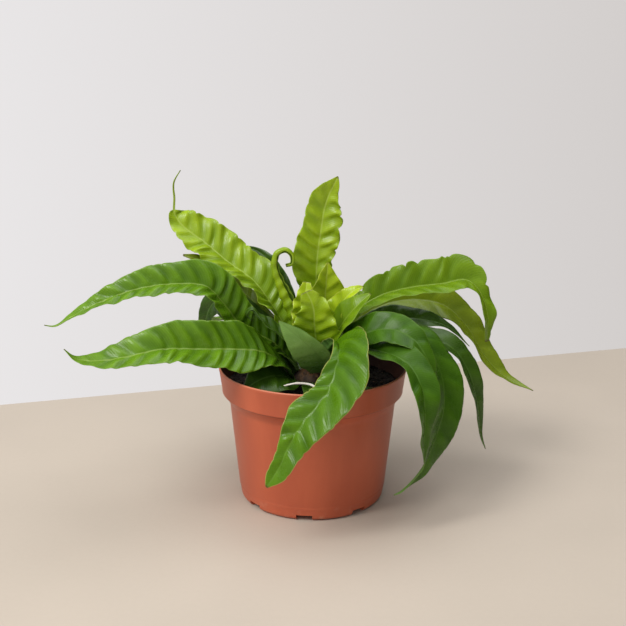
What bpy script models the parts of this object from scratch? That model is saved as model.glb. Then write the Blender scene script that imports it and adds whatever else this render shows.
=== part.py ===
"""Potted crisped bird's-nest fern: strap fronds on a short rhizome, in a 12 cm nursery pot.

Metres, +Z up. The origin is the centre of the pot's underside, on the surface it stands on.
Lengths in the tables are millimetres, angles are degrees, and MM turns them into metres.
"""
import bpy
import bmesh
import numpy as np
from math import cos, radians, sin
from mathutils import Matrix

MM = 0.001
GAP = 0.3                      # clearance between pieces that rest on each other

# driving sizes of the pot
RIM_RADIUS = 60.0
POT_HEIGHT = 87.0
BAND_FOOT_RADIUS = 57.8        # lower edge of the stiffening band round the rim
BAND_HEIGHT = 16.5
SHOULDER_DROP = 5.5            # sloping shoulder from the band in to the wall
WALL_TOP_RADIUS = 53.3
BASE_RADIUS = 46.8
BASE_ROUNDING = 3.0
WALL = 1.3
FLOOR = 5.0                    # thickness of the ribbed bottom
STEPS = 48

# drainage in the bottom
DRAINS = 8
DRAIN_TURN = -6.0              # first channel, measured from +X
CHANNEL_WIDTH = 10.0
CHANNEL_HEIGHT = 3.6
CHANNEL_START = 13.0
DRAIN_RADIUS = 3.5
DRAIN_PLACE = 30.0

# growing medium and plant base
SOIL_TOP = 76.0
SOIL_EDGE = 74.0
RHIZOME_RADIUS = 11.4
RHIZOME_TOP = 90.0

# blades
BLADE_THICKNESS = 1.2
SMALLEST_HALF_WIDTH = 0.7
FROND_STATIONS = 19

LANCE = (0.12, 0.45, 0.9, 1, 0.95, 0.7, 0.35, 0.02)   # outline of a plain short frond

GREEN = (0.10, 0.27, 0.02)
DARK = (0.03, 0.12, 0.01)
LIGHT = (0.30, 0.50, 0.02)
OLIVE = (0.16, 0.22, 0.02)

# One entry a frond. route: the midrib from the rhizome to the tip. width: the blade at its
# widest. outline: share of that width along the frond. roll: turn of the blade about its
# midrib. fold: how far each half rises from flat. tail: share of the length drawn out to a
# thread. aim: compass direction that the blade is laid out for, worked out if left out.
FRONDS = {
    "frond_long_left": dict(
        route=((-10, -1, 85), (-22, 0, 103), (-40, -5, 115), (-53, -12, 130), (-64, -15, 141),
               (-84, -18, 143), (-105, -22, 141), (-127, -26, 134), (-145, -28, 125),
               (-156, -29, 119), (-162, -30, 120)),
        width=30, outline=(0.12, 0.35, 0.65, 0.9, 1, 0.9, 0.72, 0.5, 0.25, 0.03),
        roll=(0, -40, -58, -45, -42, -40, -35, -20, 0),
        fold=(15, 20, 28, 32, 30, 25, 20, 10), colour=GREEN),
    "frond_low_left": dict(
        route=((-12, -5, 79), (-20, -14, 93), (-32, -23, 102), (-47, -32, 106), (-67, -42, 109),
               (-89, -50, 111), (-109, -56, 108), (-125, -60, 107), (-136, -62, 109),
               (-142, -63, 115)),
        width=35, outline=(0.12, 0.3, 0.8, 1, 1, 0.97, 0.8, 0.62, 0.4, 0.03),
        roll=(-10, -15, -45, -50, -42, -35, -20, -10), fold=(5, 8, 15, 28, 25, 10, 0),
        colour=GREEN),
    "frond_thread_tip": dict(
        route=((-7, 2, 89), (-17, 8, 107), (-27, 12, 123), (-39, 16, 138), (-55, 20, 149),
               (-70, 24, 161), (-83, 27, 171), (-89, 29, 178), (-90, 30, 189), (-89, 30, 199),
               (-87, 30, 207)),
        width=34, outline=(0.1, 0.3, 0.8, 0.95, 1, 1, 1, 0.95, 0.72, 0.05), tail=0.2,
        roll=(0, -15, -25, -25, -25, -25, 0), fold=(30,), colour=LIGHT),
    "frond_behind_thread_tip": dict(
        route=((-7, 7, 85), (-14, 20, 106), (-20, 31, 129), (-29, 39, 146), (-40, 44, 153),
               (-52, 46, 155)),
        width=24, outline=LANCE, roll=(0, -20, -50, -50), fold=(18,), colour=DARK),
    "frond_withered": dict(
        route=((-11, 7, 79), (-20, 17, 97), (-36, 25, 111), (-53, 28, 125), (-62, 28, 136),
               (-61, 25, 144), (-68, 21, 149), (-75, 17, 153), (-82, 13, 155)),
        width=13, outline=(0.2, 0.3, 0.3, 0.3, 0.4, 1, 1, 0.5, 0.1), roll=(0, -20, -60),
        fold=(18,), colour=OLIVE),
    "frond_hanging_left": dict(
        route=((-13, 2, 79), (-22, 7, 95), (-37, 12, 109), (-52, 15, 120), (-62, 18, 124),
               (-68, 20, 117), (-71, 21, 104), (-70, 20, 90)),
        width=22, outline=LANCE, roll=(0, -40, -70, -90), fold=(18,), colour=DARK),
    "frond_curled_left": dict(
        route=((-6, -4, 90), (-12, -9, 103), (-23, -13, 112), (-33, -15, 121), (-38, -14, 126),
               (-41, -13, 123), (-38, -12, 119)),
        width=16, outline=(0.12, 0.5, 1, 1, 0.8, 0.4, 0.05), roll=(0, -20, 0), fold=(18,),
        colour=DARK),
    "frond_upright": dict(
        route=((0, 7, 89), (2, 12, 107), (2, 13, 127), (2, 12, 143), (3, 12, 159),
               (5, 12, 173), (7, 12, 186), (10, 11, 195), (15, 8, 206)),
        width=31, outline=(0.1, 0.3, 0.7, 0.95, 1, 1, 0.97, 0.85, 0.7, 0.03), aim=-90,
        roll=(180, 180, 180, 175, 170), fold=(12,), colour=LIGHT),
    "frond_young_middle": dict(
        route=((4, 5, 90), (6, 6, 107), (9, 5, 124), (12, 5, 138), (12, 6, 152)),
        width=20, outline=(0.1, 0.4, 1, 0.85, 0.5, 0.05), aim=-60, roll=(180,), fold=(18,),
        colour=LIGHT),
    "frond_young_folded": dict(
        route=((7, 0, 89), (12, -1, 106), (18, -4, 121), (25, -6, 131), (33, -7, 138),
               (27, -4, 143)),
        width=16, outline=(0.1, 0.4, 1, 0.7, 0.3, 0.05), roll=(0, 40, 60, 60), fold=(18,),
        colour=LIGHT),
    "frond_young_curled": dict(
        route=((0, -6, 90), (-2, -11, 107), (-5, -14, 123), (-5, -16, 134), (-4, -14, 144)),
        width=15, outline=(0.1, 0.5, 1, 0.8, 0.5, 0.1), aim=-90, roll=(180,), fold=(18,),
        colour=LIGHT),
    "frond_young_front": dict(
        route=((2, -8, 88), (1, -18, 106), (0, -24, 119), (-2, -27, 132), (-6, -27, 140)),
        width=18, outline=(0.1, 0.4, 1, 0.9, 0.6, 0.1), aim=-90, roll=(180,), fold=(18,),
        colour=GREEN),
    "frond_olive_folded": dict(
        route=((5, -5, 89), (11, -11, 104), (17, -16, 118), (25, -20, 130), (34, -22, 139)),
        width=18, outline=(0.1, 0.4, 1, 1, 0.5, 0.05), roll=(0, 40, 50), fold=(18,),
        colour=OLIVE),
    "frond_upper_right": dict(
        route=((9, 5, 85), (17, 9, 103), (27, 12, 118), (43, 12, 129), (64, 15, 134),
               (86, 18, 136), (103, 20, 138), (112, 18, 131), (115, 14, 116), (114, 12, 99)),
        width=33, outline=(0.1, 0.35, 0.85, 1, 1, 1, 0.95, 0.72, 0.5, 0.03),
        roll=(0, 20, 36, 40, 42, 42, 50, 50), fold=(18, 30, 36, 34, 30, 25, 10), colour=LIGHT),
    "frond_olive_right": dict(
        route=((11, 7, 79), (19, 16, 95), (32, 27, 110), (51, 37, 118), (72, 43, 119),
               (90, 46, 114), (106, 45, 99), (117, 40, 81), (132, 36, 66), (150, 30, 59)),
        width=28, outline=(0.1, 0.35, 0.8, 1, 1, 1, 0.95, 0.85, 0.45, 0.03),
        roll=(0, 30, 45, 45, 40, 35, 10), fold=(18,), colour=OLIVE),
    "frond_dark_right": dict(
        route=((13, 2, 79), (22, 6, 94), (34, 10, 107), (51, 14, 113), (72, 17, 112),
               (88, 18, 107), (103, 18, 94)),
        width=20, outline=LANCE, roll=(0, 30, 30, 20), fold=(18,), colour=DARK),
    "frond_hanging_front_right": dict(
        route=((9, -9, 79), (18, -21, 93), (30, -35, 102), (44, -49, 105), (56, -61, 103),
               (62, -69, 93), (64, -73, 79), (64, -73, 62), (65, -70, 49)),
        width=26, outline=(0.1, 0.35, 0.9, 1, 0.9, 0.75, 0.5, 0.03),
        roll=(0, -15, -20, -10, -20), fold=(18,), colour=DARK),
    "frond_narrow_right": dict(
        route=((8, -7, 85), (18, -19, 102), (31, -31, 116), (48, -40, 122), (60, -47, 118),
               (68, -52, 106), (72, -54, 88)),
        width=20, outline=(0.12, 0.35, 0.8, 1, 0.95, 0.7, 0.35, 0.02),
        roll=(0, -15, -15, 0, -20), fold=(12,), colour=GREEN),
    "frond_big_hanging_right": dict(
        route=((10, -1, 85), (20, -2.5, 102), (35, -8, 112), (52, -19, 115), (66, -29, 110),
               (74, -37, 96), (77, -43, 77), (72, -50, 58), (64, -58, 40), (53, -66, 31),
               (48, -68, 30)),
        width=30, outline=(0.1, 0.35, 0.85, 1, 1, 1, 0.95, 0.65, 0.3, 0.03),
        roll=(0, 25, 25, 20, 10, -10), fold=(6, 8, 14, 18), colour=GREEN),
    "frond_hooked_right": dict(
        route=((13, -3, 79), (23, -6, 94), (36, -8, 104), (52, -10, 109), (70, -12, 108),
               (87, -14, 102), (98, -15, 86), (104, -16, 65), (107, -16, 45), (111, -14, 35)),
        width=20, outline=(0.1, 0.35, 0.8, 1, 1, 1, 0.9, 0.7, 0.3, 0.03),
        roll=(0, 10, 20, 30, 30), fold=(18,), colour=DARK),
    "frond_front": dict(
        route=((3, -10, 85), (8, -22, 101), (13, -37, 112), (15, -50, 112), (13, -62, 103),
               (8, -70, 91), (-3, -76, 79), (-12, -80, 66), (-19, -83, 51), (-26, -84, 40)),
        width=35, outline=(0.1, 0.35, 0.85, 1, 1, 1, 0.9, 0.7, 0.42, 0.04),
        roll=(0, 0, 0, 0, -10, -10), fold=(18,), colour=GREEN),
    "frond_glossy_front": dict(
        route=((-5, -9, 85), (-9, -22, 92), (-11, -31, 103), (-15, -38, 114), (-20, -43, 126)),
        width=26, outline=(0.12, 0.5, 1, 1, 0.7, 0.05), aim=-90, roll=(180, 200, 215),
        fold=(18,), colour=DARK),
    "frond_in_pot_left": dict(
        route=((-9, -10, 78.5), (-17, -18, 80.5), (-26, -25, 81), (-35, -31, 80.5), (-43, -34, 78.5)),
        width=22, outline=LANCE, roll=(0,), fold=(6,), colour=DARK),
    "frond_in_pot_front": dict(
        route=((0, -13, 78.5), (0, -24, 81), (-2, -36, 82), (-4, -46, 79)),
        width=12, outline=LANCE, roll=(0,), fold=(8,), colour=DARK),
    "frond_in_pot_right": dict(
        route=((4, -13, 78.5), (12, -24, 81), (23, -33, 82), (34, -37, 82), (46, -32, 81)),
        width=11, outline=LANCE, roll=(0, 20), fold=(8,), colour=DARK),
    "frond_back_right": dict(
        route=((8, 10, 79), (22, 32, 94), (43, 58, 100), (68, 82, 93), (88, 100, 74)),
        width=24, outline=LANCE, roll=(0,), fold=(18,), colour=GREEN),
    "frond_back_mid_right": dict(
        route=((3, 13, 79), (9, 40, 97), (20, 75, 106), (31, 105, 102), (38, 128, 84)),
        width=22, outline=LANCE, roll=(0,), fold=(18,), colour=GREEN),
    "frond_back_mid_left": dict(
        route=((-3, 13, 79), (-8, 38, 94), (-16, 72, 101), (-23, 102, 96), (-28, 124, 78)),
        width=22, outline=LANCE, roll=(0,), fold=(18,), colour=GREEN),
    "frond_back_left": dict(
        route=((-8, 10, 79), (-26, 31, 93), (-50, 54, 100), (-73, 76, 94), (-92, 90, 77)),
        width=24, outline=LANCE, roll=(0,), fold=(18,), colour=GREEN),
    "frond_back_short": dict(
        route=((2, 10, 85), (4, 28, 106), (5, 50, 121), (6, 73, 126), (7, 96, 119)),
        width=20, outline=LANCE, roll=(0,), fold=(18,), colour=GREEN),
}

FIDDLEHEAD_ROUTE = ((-2, -2, 91), (-7, -1, 107), (-13, 1, 122), (-20, 1, 138), (-24, 1, 150),
                    (-22.5, 1, 157), (-18, 1, 159), (-13.5, 1, 156), (-13.5, 0, 151),
                    (-16.5, 0, 150))
ROOT_ROUTE = ((-21, -30, 78.5), (-8, -33, 80), (0, -38, 80.5), (3, -43, 79.5), (-3, -49, 78),
              (-10, -50, 77))
ROOT_SHORT_ROUTE = ((-43, -20, 77), (-45, -24, 80), (-45, -29, 80), (-43, -32, 77))
BARK = (  # length, width, thickness, place, turn about Z, tilt
    ("bark_chip_large", 14, 5, 1.4, (-9, -45, 76.6), 20, 6),
    ("bark_chip_small", 9, 4, 1.2, (-1, -52, 76.2), -35, -5),
    ("leaf_litter_flake", 8, 6, 0.8, (41, -16, 76.6), 60, 8),
)


def clear_scene():
    for item in list(bpy.data.objects):
        bpy.data.objects.remove(item, do_unlink=True)


def new_collection(name):
    group = bpy.data.collections.new(name)
    bpy.context.scene.collection.children.link(group)
    return group


def make_material(name, colour, roughness):
    material = bpy.data.materials.new(name)
    material.use_nodes = True
    shader = material.node_tree.nodes["Principled BSDF"]
    shader.inputs["Base Color"].default_value = (*colour, 1.0)
    shader.inputs["Roughness"].default_value = roughness
    shader.inputs["Metallic"].default_value = 0.0
    material.diffuse_color = (*colour, 1.0)
    return material


def add_object(name, mesh, group, material=None):
    item = bpy.data.objects.new(name, mesh)
    group.objects.link(item)
    if material:
        mesh.materials.append(material)
    return item


def mesh_from(build, name):
    """A mesh made by the function build, which is given an empty bmesh."""
    work = bmesh.new()
    build(work)
    mesh = bpy.data.meshes.new(name)
    work.to_mesh(mesh)
    work.free()
    return mesh


def turned(name, profile, group, material):
    """A closed turned piece from (radius, height) points, inner side first, outer side down."""
    mesh = bpy.data.meshes.new(name)
    points = [(r * MM, 0.0, z * MM) for r, z in profile]
    mesh.from_pydata(points, [(i, i + 1) for i in range(len(points) - 1)], [])
    item = add_object(name, mesh, group, material)
    screw = item.modifiers.new("Turn", "SCREW")
    screw.steps = STEPS
    screw.render_steps = STEPS
    screw.use_merge_vertices = True
    screw.merge_threshold = 0.00001
    screw.use_smooth_shade = True
    return item


def rounded_corner(centre_r, centre_z, radius, start, stop, count):
    """Points of an arc in the profile, from start to stop degrees (0 outward, 90 up)."""
    points = []
    for turn in np.linspace(start, stop, count):
        angle = radians(turn)
        points.append((centre_r + radius * cos(angle), centre_z + radius * sin(angle)))
    return points


def pot_profile():
    band_foot = POT_HEIGHT - BAND_HEIGHT
    shoulder = band_foot - SHOULDER_DROP
    lip = WALL / 2
    inside = [
        (0.0, FLOOR),
        (BASE_RADIUS - WALL - 1.8, FLOOR),
        (BASE_RADIUS - WALL + 0.4, FLOOR + 1.6),
        (WALL_TOP_RADIUS - WALL, shoulder + 0.4),
        (BAND_FOOT_RADIUS - WALL, band_foot + 0.4),
    ]
    top = rounded_corner(RIM_RADIUS - lip, POT_HEIGHT - lip, lip, 180, 0, 5)
    outside = [
        (BAND_FOOT_RADIUS + 0.1, band_foot + 0.7),
        (BAND_FOOT_RADIUS - 0.5, band_foot),
        (WALL_TOP_RADIUS, shoulder),
        (BASE_RADIUS + 0.85, 8.8),
        (BASE_RADIUS + 0.95, 8.2),
        (BASE_RADIUS + 0.65, 7.6),
    ]
    bottom = rounded_corner(BASE_RADIUS - BASE_ROUNDING, BASE_ROUNDING, BASE_ROUNDING, 0, -90, 4)
    return inside + top + outside + bottom + [(0.0, 0.0)]


def drain_cutter(group):
    """Radial channels under the pot that end as notches in its foot, and a hole up from each."""
    reach = BASE_RADIUS + 6.0
    length = reach - CHANNEL_START

    def build(work):
        for k in range(DRAINS):
            turn = Matrix.Rotation(radians(DRAIN_TURN + k * 360.0 / DRAINS), 4, "Z")
            size = Matrix.Diagonal((length * MM, CHANNEL_WIDTH * MM, 2 * CHANNEL_HEIGHT * MM, 1))
            place = Matrix.Translation(((CHANNEL_START + length / 2) * MM, 0, 0))
            bmesh.ops.create_cube(work, size=1.0, matrix=turn @ place @ size)

    channels = add_object("drain_channels", mesh_from(build, "drain_channels"), group)

    def build_holes(work):
        for k in range(DRAINS):
            turn = Matrix.Rotation(radians(DRAIN_TURN + k * 360.0 / DRAINS), 4, "Z")
            place = Matrix.Translation((DRAIN_PLACE * MM, 0, FLOOR * MM))
            bmesh.ops.create_cone(work, cap_ends=True, segments=12, radius1=DRAIN_RADIUS * MM,
                                  radius2=DRAIN_RADIUS * MM, depth=2 * FLOOR * MM,
                                  matrix=turn @ place)

    holes = add_object("drain_holes", mesh_from(build_holes, "drain_holes"), group)
    for cutter in (channels, holes):
        cutter.hide_render = True
        cutter.display_type = "WIRE"
    return channels, holes


def make_pot(parts, cutters):
    terracotta = make_material("terracotta_plastic", (0.42, 0.105, 0.048), 0.42)
    pot = turned("nursery_pot", pot_profile(), parts, terracotta)
    for cutter in drain_cutter(cutters):
        cut = pot.modifiers.new("Cut " + cutter.name, "BOOLEAN")
        cut.operation = "DIFFERENCE"
        cut.solver = "EXACT"
        cut.object = cutter
    return pot


def make_soil(parts):
    potting_mix = make_material("potting_mix", (0.018, 0.014, 0.015), 0.95)
    shoulder = POT_HEIGHT - BAND_HEIGHT - SHOULDER_DROP
    inner = WALL_TOP_RADIUS - WALL - 2 * GAP
    profile = [
        (0.0, SOIL_TOP),
        (18.0, SOIL_TOP - 0.2),
        (38.0, SOIL_TOP - 0.9),
        (BAND_FOOT_RADIUS - WALL - 1.0, SOIL_EDGE),
        (inner, shoulder),
        (BASE_RADIUS - WALL - 0.4, FLOOR + 2.4),
        (BASE_RADIUS - WALL - 2.4, FLOOR + GAP),
        (0.0, FLOOR + GAP),
    ]
    return turned("potting_soil", profile, parts, potting_mix)


def make_rhizome(parts):
    """The scaly crown that the fronds spring from: a low rounded cone on the soil."""
    scales = make_material("rhizome_scales", (0.045, 0.026, 0.014), 0.9)
    foot = SOIL_TOP + GAP
    profile = [
        (0.0, RHIZOME_TOP),
        (3.0, RHIZOME_TOP - 1.0),
        (4.6, RHIZOME_TOP - 3.4),
        (7.4, RHIZOME_TOP - 7.4),
        (RHIZOME_RADIUS - 1.0, foot + 3.4),
        (RHIZOME_RADIUS, foot),
        (0.0, foot),
    ]
    item = turned("rhizome", profile, parts, scales)
    item.modifiers["Turn"].steps = 20
    item.modifiers["Turn"].render_steps = 20
    return item


def eased(values, count):
    """count values along a smooth curve through evenly spaced stations."""
    knots = np.asarray(values, float)
    if len(knots) == 1:
        return np.full(count, knots[0])
    spot = np.clip(np.linspace(0, len(knots) - 1, count), 0, len(knots) - 1 - 1e-9)
    k = spot.astype(int)
    t = spot - k
    ends = np.r_[2 * knots[0] - knots[1], knots, 2 * knots[-1] - knots[-2]]
    a, b, c, d = ends[k], ends[k + 1], ends[k + 2], ends[k + 3]
    return 0.5 * (2 * b + (c - a) * t + (2 * a - 5 * b + 4 * c - d) * t ** 2
                  + (3 * b - a - 3 * c + d) * t ** 3)


def smooth_route(points, count):
    """count points, evenly spaced by length, on a smooth curve through a route's points."""
    knots = np.asarray(points, float)
    chords = np.linalg.norm(np.diff(knots, axis=0), axis=1)
    at = np.r_[0, np.cumsum(np.sqrt(chords))]
    slope = np.gradient(knots, at, axis=0)
    fine = np.linspace(0, at[-1], 600)
    k = np.clip(np.searchsorted(at, fine, side="right") - 1, 0, len(at) - 2)
    span = (at[k + 1] - at[k])[:, None]
    s = (fine - at[k])[:, None] / span
    curve = ((2 * s ** 3 - 3 * s ** 2 + 1) * knots[k] + (s ** 3 - 2 * s ** 2 + s) * span * slope[k]
             + (3 * s ** 2 - 2 * s ** 3) * knots[k + 1] + (s ** 3 - s ** 2) * span * slope[k + 1])
    length = np.r_[0, np.cumsum(np.linalg.norm(np.diff(curve, axis=0), axis=1))]
    want = np.linspace(0, length[-1], count)
    return np.stack([np.interp(want, length, curve[:, axis]) for axis in range(3)], axis=-1)


def frond_surface(frond, count):
    """Left margin, midrib and right margin of a blade at count stations, in metres.

    Each half leaves the midrib at the fold angle: midrib + v*w*cos(fold)*side +
    |v|*w*sin(fold)*up, with v at -1, 0 and 1, and w the half width at the station.
    """
    midrib = smooth_route(frond["route"], count)
    along = np.gradient(midrib, axis=0)
    along /= np.linalg.norm(along, axis=1)[:, None]
    if "aim" in frond:
        heading = radians(frond["aim"])
    else:
        reach = np.linalg.norm((midrib - midrib[0])[:, :2], axis=1)
        far = midrib[np.argmax(reach)] - midrib[0]
        heading = np.arctan2(far[1], far[0])
    level = np.array([-sin(heading), cos(heading), 0.0])
    side = level - (along @ level)[:, None] * along
    side /= np.linalg.norm(side, axis=1)[:, None]
    up = np.cross(along, side)
    roll = np.radians(eased(frond["roll"], count))[:, None]
    side, up = side * np.cos(roll) + up * np.sin(roll), up * np.cos(roll) - side * np.sin(roll)
    share = np.linspace(0, 1, count)
    blade = np.clip(share / (1 - frond.get("tail", 0.0)), 0, 1)
    stations = np.linspace(0, 1, 60)
    outline = np.interp(blade, stations, eased(frond["outline"], 60))
    half = np.maximum(frond["width"] / 2 * outline, SMALLEST_HALF_WIDTH + 0.5 * (1 - share))
    fold = np.radians(eased(frond["fold"], count))
    out = (half * np.cos(fold))[:, None] * side
    rise = (half * np.sin(fold))[:, None] * up
    return np.stack([midrib - out + rise, midrib, midrib + out + rise], axis=1) * MM


def make_frond(name, frond, parts, material):
    """A grid laid on the blade's surface and given its thickness."""
    points = frond_surface(frond, FROND_STATIONS)

    def build(work):
        bmesh.ops.create_grid(work, x_segments=FROND_STATIONS - 1, y_segments=2, size=1.0)
        work.verts.ensure_lookup_table()
        for vertex in work.verts:
            station = round((vertex.co.x + 1) / 2 * (FROND_STATIONS - 1))
            column = round(vertex.co.y + 1)
            vertex.co = points[station, column]

    item = add_object(name, mesh_from(build, name), parts, material)
    thick = item.modifiers.new("Blade thickness", "SOLIDIFY")
    thick.thickness = BLADE_THICKNESS * MM
    thick.offset = 0.0
    return item


def make_tube(name, route, radii, count, resolution, parts, material):
    """A tapered tube with closed ends along a smooth route."""
    curve = bpy.data.curves.new(name, "CURVE")
    curve.dimensions = "3D"
    curve.bevel_depth = MM
    curve.bevel_resolution = resolution
    curve.use_fill_caps = True
    spline = curve.splines.new("POLY")
    spline.points.add(count - 1)
    points = smooth_route(route, count) * MM
    sizes = eased(radii, count)
    for point, place, size in zip(spline.points, points, sizes):
        point.co = (*place, 1.0)
        point.radius = size
    item = bpy.data.objects.new(name, curve)
    parts.objects.link(item)
    curve.materials.append(material)
    return item


def make_chip(name, length, width, thickness, place, turn, tilt, parts, material):
    def build(work):
        bmesh.ops.create_cube(work, size=1.0)
        bmesh.ops.scale(work, vec=(length * MM, width * MM, thickness * MM), verts=work.verts)
        tip = [v for v in work.verts if v.co.x > 0]
        bmesh.ops.scale(work, vec=(1.0, 0.45, 0.7), verts=tip)

    item = add_object(name, mesh_from(build, name), parts, material)
    bevel = item.modifiers.new("Worn edges", "BEVEL")
    bevel.width = 0.3 * thickness * MM
    bevel.segments = 1
    item.location = [value * MM for value in place]
    item.rotation_euler = (0.0, radians(tilt), radians(turn))
    return item


def main():
    clear_scene()
    parts = new_collection("potted_fern")
    cutters = new_collection("cutters")
    make_pot(parts, cutters)
    make_soil(parts)
    make_rhizome(parts)
    for name, frond in FRONDS.items():
        leaf = make_material(name + "_leaf", frond["colour"], 0.35)
        make_frond(name, frond, parts, leaf)
    young = make_material("fiddlehead_leaf", (0.22, 0.34, 0.03), 0.45)
    make_tube("fiddlehead", FIDDLEHEAD_ROUTE, (2.6, 3.0, 2.6, 1.9, 1.2, 0.7), 34, 2, parts, young)
    root = make_material("live_root", (0.75, 0.70, 0.62), 0.6)
    make_tube("root_loop", ROOT_ROUTE, (0.6,), 26, 1, parts, root)
    make_tube("root_short", ROOT_SHORT_ROUTE, (0.5,), 12, 1, parts, root)
    bark = make_material("bark_mulch", (0.16, 0.07, 0.045), 0.85)
    for chip in BARK:
        make_chip(*chip, parts, bark)


main()
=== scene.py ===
# Potted crisped bird's-nest fern in a terracotta-coloured nursery pot: the looks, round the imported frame
from math import cos, pi, radians, sin
import bmesh
import bpy
import numpy as np
from mathutils import Matrix, Vector


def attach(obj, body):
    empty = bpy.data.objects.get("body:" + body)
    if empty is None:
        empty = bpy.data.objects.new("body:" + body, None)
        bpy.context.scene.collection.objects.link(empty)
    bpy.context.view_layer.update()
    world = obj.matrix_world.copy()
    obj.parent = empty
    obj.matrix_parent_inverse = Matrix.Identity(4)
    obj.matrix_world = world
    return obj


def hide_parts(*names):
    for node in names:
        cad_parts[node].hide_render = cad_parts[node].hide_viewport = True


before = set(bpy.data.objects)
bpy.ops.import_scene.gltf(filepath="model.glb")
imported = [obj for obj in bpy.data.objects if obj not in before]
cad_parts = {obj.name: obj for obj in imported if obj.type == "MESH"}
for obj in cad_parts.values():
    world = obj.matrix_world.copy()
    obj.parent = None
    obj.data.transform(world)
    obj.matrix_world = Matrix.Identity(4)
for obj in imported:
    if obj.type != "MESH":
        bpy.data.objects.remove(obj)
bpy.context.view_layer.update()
mm = 0.001
print("frame loaded:", len(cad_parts), "nodes")


class Wire:
    # a shader socket that can stand in sums; every operator adds its Math node
    def __init__(self, sheet, socket):
        self.sheet = sheet
        self.socket = socket

    def maths(self, kind, *others):
        return self.sheet.node("ShaderNodeMath", {"operation": kind}, dict(enumerate([self, *others])))

    def __add__(self, other):
        return self.maths("ADD", other)

    def __mul__(self, other):
        return self.maths("MULTIPLY", other)

    def __pow__(self, other):
        return self.maths("POWER", other)

    __radd__ = __add__
    __rmul__ = __mul__

    def part(self, axis):
        return self.sheet.node("ShaderNodeSeparateXYZ", {}, {0: self}, axis)

    def between(self, low, high):
        # 0 below low, 1 above high, eased in between; low above high turns it round
        values = {"Value": self, "From Min": low, "From Max": high}
        return self.sheet.node("ShaderNodeMapRange", {"interpolation_type": "SMOOTHSTEP"}, values)


class Sheet:
    # the nodes of one material, or of the world
    def __init__(self, owner):
        owner.use_nodes = True
        self.owner = owner
        self.tree = owner.node_tree

    def node(self, kind, settings=None, values=None, out=0):
        made = self.tree.nodes.new(kind)
        for key, value in (settings or {}).items():
            setattr(made, key, value)
        for key, value in (values or {}).items():
            self.plug(made.inputs[key], value)
        return Wire(self, made.outputs[out])

    def plug(self, socket, value):
        if isinstance(value, Wire):
            self.tree.links.new(value.socket, socket)
        elif socket.type == "RGBA":
            socket.default_value = (*value, 1)
        else:
            socket.default_value = value

    def place(self):
        return self.node("ShaderNodeTexCoord", out="Object")

    def reading(self, name):
        return self.node("ShaderNodeAttribute", {"attribute_name": name}, out="Vector")

    def noise(self, vector, scale, detail=2.0, rough=0.5, stretch=None):
        if stretch:
            vector = self.node("ShaderNodeMapping", {}, {"Vector": vector, "Scale": stretch})
        values = {"Vector": vector, "Scale": scale, "Detail": detail, "Roughness": rough}
        return self.node("ShaderNodeTexNoise", {}, values, "Fac")

    def mix(self, share, first, second):
        settings = {"data_type": "RGBA", "clamp_factor": True}
        return self.node("ShaderNodeMix", settings, {0: share, 6: first, 7: second}, 2)

    def finish(self, specular, colour, rough, height, depth, strength):
        # a material of one Principled skin, with its bump
        skin = self.tree.nodes["Principled BSDF"].inputs
        skin["Specular IOR Level"].default_value = specular
        self.plug(skin["Base Color"], colour)
        self.plug(skin["Roughness"], rough)
        values = {"Height": height, "Distance": depth, "Strength": strength}
        self.plug(skin["Normal"], self.node("ShaderNodeBump", {}, values))
        return self.owner


def sheetFor(name):
    return Sheet(bpy.data.materials.new(name))


def shaded(colour, factor):
    return tuple(factor * part for part in colour)


def link(name, data):
    item = bpy.data.objects.new(name, data)
    bpy.context.scene.collection.objects.link(item)
    return item


def addPiece(name, mesh, materials, nodes):
    # a finished piece at the origin that rides on the body and stands for its CAD nodes
    piece = link(name, mesh)
    for material in materials:
        mesh.materials.append(material)
    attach(piece, "root")
    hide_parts(*nodes)


def meshOf(name, points, faces, smooth=True):
    # points in metres, in rows of three; faces as rows of point numbers
    mesh = bpy.data.meshes.new(name)
    mesh.from_pydata(np.reshape(points, (-1, 3)), [], [tuple(map(int, face)) for face in faces])
    mesh.polygons.foreach_set("use_smooth", np.full(len(mesh.polygons), smooth))
    mesh.update()
    return mesh


def outwards(mesh):
    work = bmesh.new()
    work.from_mesh(mesh)
    bmesh.ops.recalc_face_normals(work, faces=work.faces)
    work.to_mesh(mesh)
    work.free()
    return mesh


def gridFaces(rows, columns, start=0, wrap=False, turned=False):
    # quads between neighbouring rows and columns of a grid whose first point has number start
    i, j = np.meshgrid(np.arange(rows - 1), np.arange(columns if wrap else columns - 1), indexing="ij")
    k = (j + 1) % columns
    quads = np.stack([i * columns + j, (i + 1) * columns + j, (i + 1) * columns + k, i * columns + k], -1)
    quads = quads.reshape(-1, 4) + start
    return quads[:, ::-1] if turned else quads


def shellFaces(rows, columns):
    # an upper and a lower grid of points, one after the other, and the quads that join them round the rim
    count = rows * columns
    left = np.arange(rows - 1) * columns
    right = left + columns - 1
    root = np.arange(columns - 1)
    tip = root + (rows - 1) * columns
    rims = [(left, left + count, left + count + columns, left + columns),
            (right, right + columns, right + count + columns, right + count),
            (root, root + 1, root + 1 + count, root + count), (tip, tip + count, tip + count + 1, tip + 1)]
    skins = [gridFaces(rows, columns), gridFaces(rows, columns, count, turned=True)]
    return np.concatenate(skins + [np.stack(rim, -1) for rim in rims])


def ringFaces(rows, turns, turned=False):
    # a stack of closed rings, then two points that close its ends with a fan each
    j = np.arange(turns)
    k = (j + 1) % turns
    last = (rows - 1) * turns
    first = [(b, a, rows * turns) for a, b in zip(j, k)]
    final = [(last + a, last + b, rows * turns + 1) for a, b in zip(j, k)]
    faces = gridFaces(rows, turns, wrap=True).tolist() + first + final
    return [face[::-1] for face in faces] if turned else faces


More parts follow.
